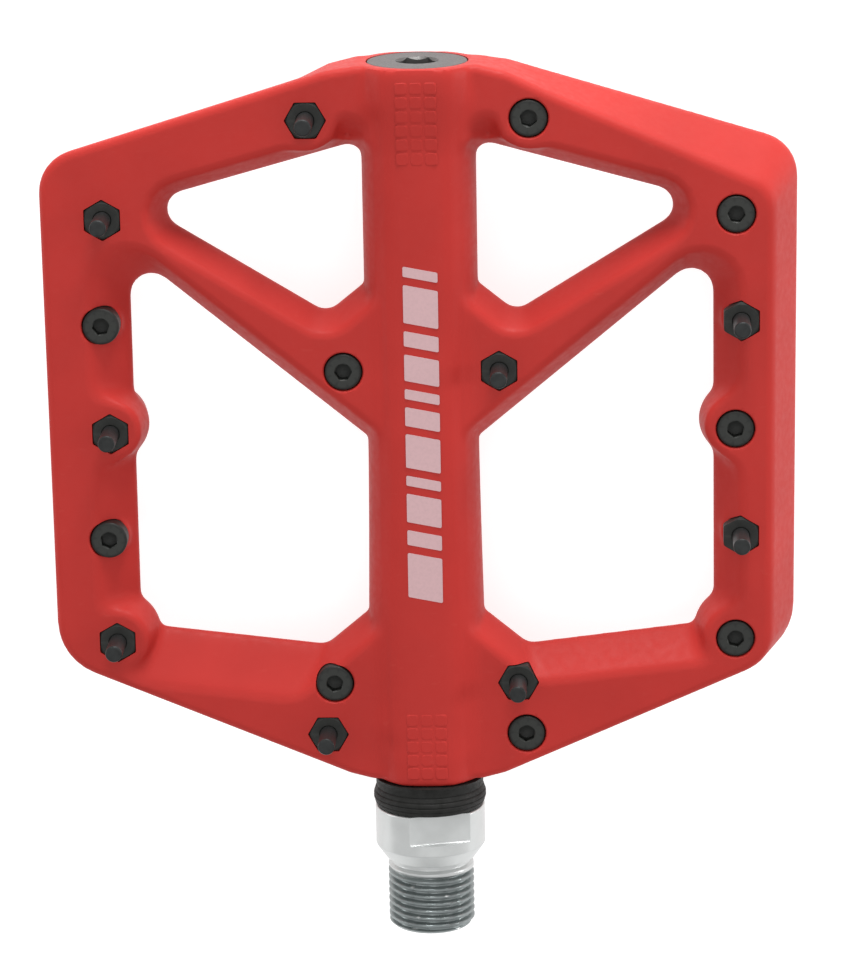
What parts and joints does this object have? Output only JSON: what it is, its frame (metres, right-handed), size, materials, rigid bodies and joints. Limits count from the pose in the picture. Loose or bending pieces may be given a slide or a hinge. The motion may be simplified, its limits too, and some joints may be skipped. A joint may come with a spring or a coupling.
{
  "type": "flat pedal",
  "caption": "Wide flat bicycle pedal: moulded platform with open windows and steel grip pins, turning on a threaded steel spindle.",
  "frame": {"origin": "centre of the whole pedal's bounding box, on the spindle axis", "axes": "+Y along the spindle axis towards the outboard end cap, +X across the platform, +Z normal to the platform"},
  "size_m": [0.122, 0.1458, 0.0256],
  "materials": {
    "red_nylon": "satin moulded nylon, fine grain",
    "black_steel": "satin black coated steel",
    "chromed_steel": "bright plated, duller on the thread",
    "bearing_steel": "ground steel",
    "grey_aluminium": "grey anodised, fine turned",
    "black_rubber": "soft black rubber",
    "bush_polymer": "dark bearing polymer"
  },
  "bodies": {
    "spindle": {"spindle": "chromed_steel", "bearing_inner_ring": "bearing_steel", "lock_washer": "bearing_steel", "lock_nut": "bearing_steel"},
    "platform": {"platform": "red_nylon", "seal_boot": "black_rubber", "inboard_bush": "bush_polymer", "bearing_outer_ring": "bearing_steel", "bearing_shield_inner": "bearing_steel", "bearing_shield_outer": "bearing_steel", "cap_o_ring": "black_rubber", "end_cap": "grey_aluminium", "pin_screw_01": "black_steel", "pin_screw_02": "black_steel", "pin_screw_03": "black_steel", "pin_screw_04": "black_steel", "pin_screw_05": "black_steel", "pin_screw_06": "black_steel", "pin_screw_07": "black_steel", "pin_screw_08": "black_steel", "pin_screw_09": "black_steel", "pin_screw_10": "black_steel", "pin_screw_11": "black_steel", "pin_screw_12": "black_steel", "pin_screw_13": "black_steel", "pin_screw_14": "black_steel", "pin_screw_15": "black_steel", "pin_screw_16": "black_steel", "pin_screw_17": "black_steel", "pin_screw_18": "black_steel", "pin_nut_01": "black_steel", "pin_nut_02": "black_steel", "pin_nut_03": "black_steel", "pin_nut_04": "black_steel", "pin_nut_05": "black_steel", "pin_nut_06": "black_steel", "pin_nut_07": "black_steel", "pin_nut_08": "black_steel", "pin_nut_09": "black_steel", "pin_nut_10": "black_steel", "pin_nut_11": "black_steel", "pin_nut_12": "black_steel", "pin_nut_13": "black_steel", "pin_nut_14": "black_steel", "pin_nut_15": "black_steel", "pin_nut_16": "black_steel", "pin_nut_17": "black_steel", "pin_nut_18": "black_steel"},
    "ball_cage": {"bearing_cage": "bush_polymer", "bearing_ball_1": "bearing_steel", "bearing_ball_2": "bearing_steel", "bearing_ball_3": "bearing_steel", "bearing_ball_4": "bearing_steel", "bearing_ball_5": "bearing_steel", "bearing_ball_6": "bearing_steel", "bearing_ball_7": "bearing_steel", "bearing_ball_8": "bearing_steel", "bearing_ball_9": "bearing_steel"}
  },
  "joints": [
    {"name": "platform_spin", "type": "hinge", "parent": "spindle", "child": "platform", "pos_m": [0, 0, 0], "axis": [0, 1, 0], "continuous": true},
    {"name": "cage_spin", "type": "hinge", "parent": "spindle", "child": "ball_cage", "pos_m": [0, 0.05755, 0], "axis": [0, 1, 0], "continuous": true}
  ],
  "couplings": [
    {"joint": "cage_spin", "follows": "platform_spin", "ratio": 0.5958}
  ]
}
